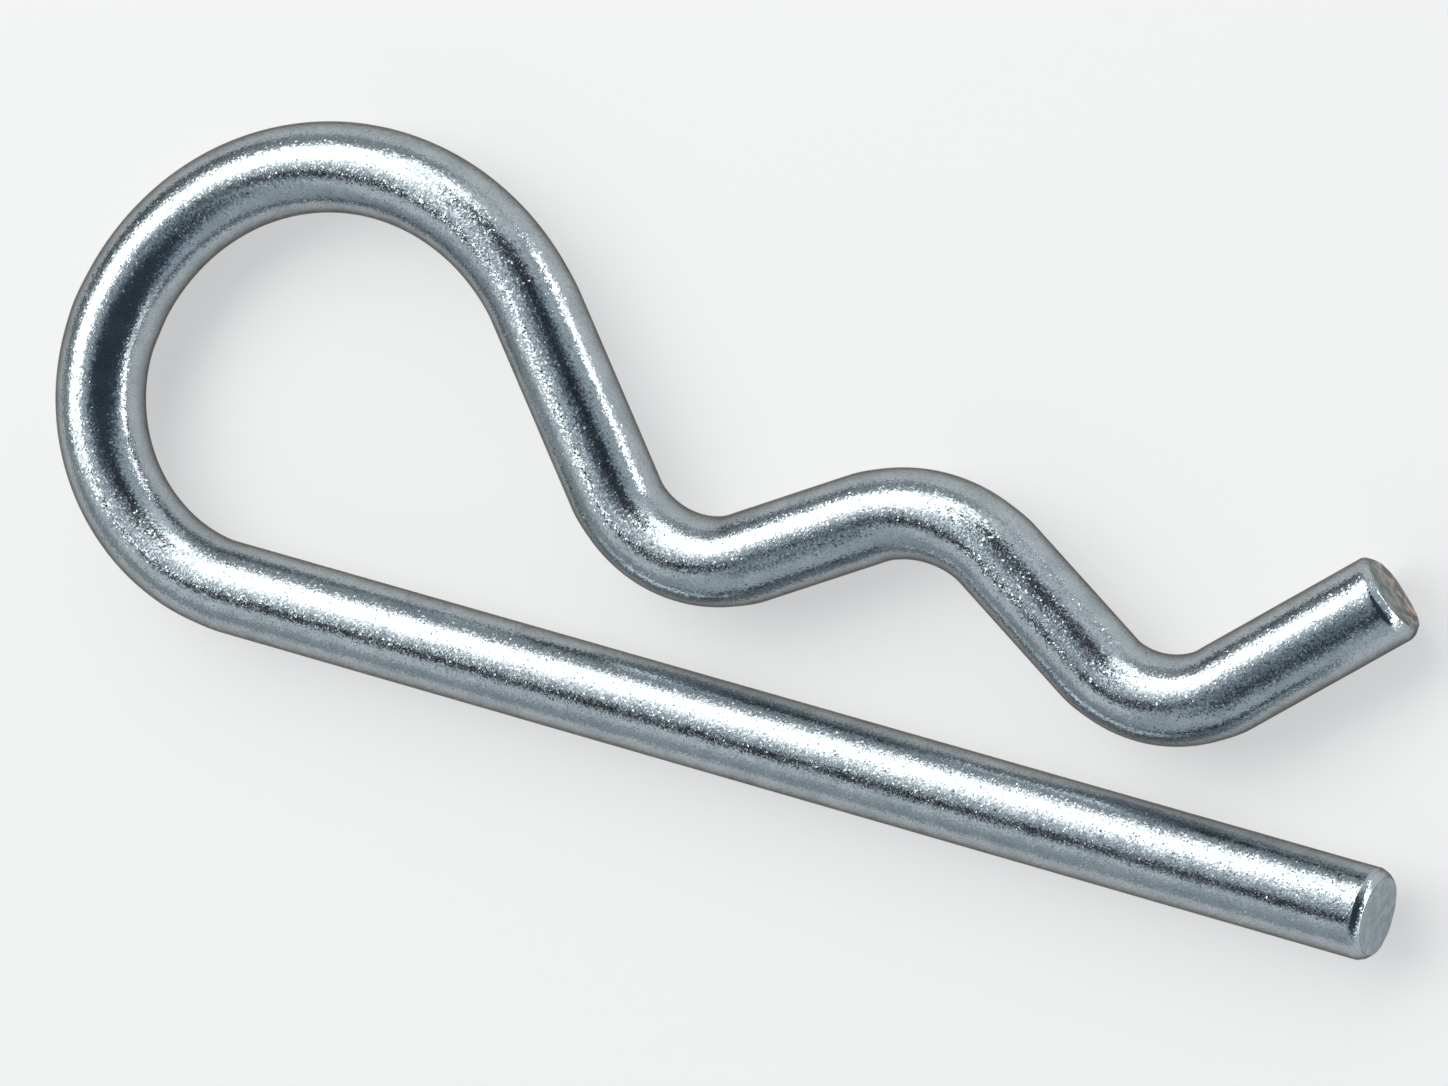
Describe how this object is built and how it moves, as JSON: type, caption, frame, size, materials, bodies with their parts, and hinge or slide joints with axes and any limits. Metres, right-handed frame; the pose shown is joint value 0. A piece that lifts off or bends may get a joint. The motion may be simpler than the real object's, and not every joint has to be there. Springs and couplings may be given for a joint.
{
  "type": "hairpin cotter pin",
  "caption": "Retaining pin bent from round spring wire: a straight leg passes a shaft's cross hole and a wavy spring leg, joined to it by a round eye, grips the shaft.",
  "frame": {"origin": "centre of the shaft that the pin holds, on the axis of the straight leg beside the hump", "axes": "+X along the straight leg towards its cut tip, +Y from the straight leg towards the wavy spring leg, +Z square to the plane that the wire is bent in, along the held shaft; the pin lies flat"},
  "size_m": [0.0647, 0.0231, 0.004],
  "materials": {
    "zinc_plated_steel": "bright zinc plating on drawn spring steel wire, semi-gloss with fine speckle and handling scratches"
  },
  "bodies": {
    "root": {"hairpin": "zinc_plated_steel"}
  },
  "joints": []
}
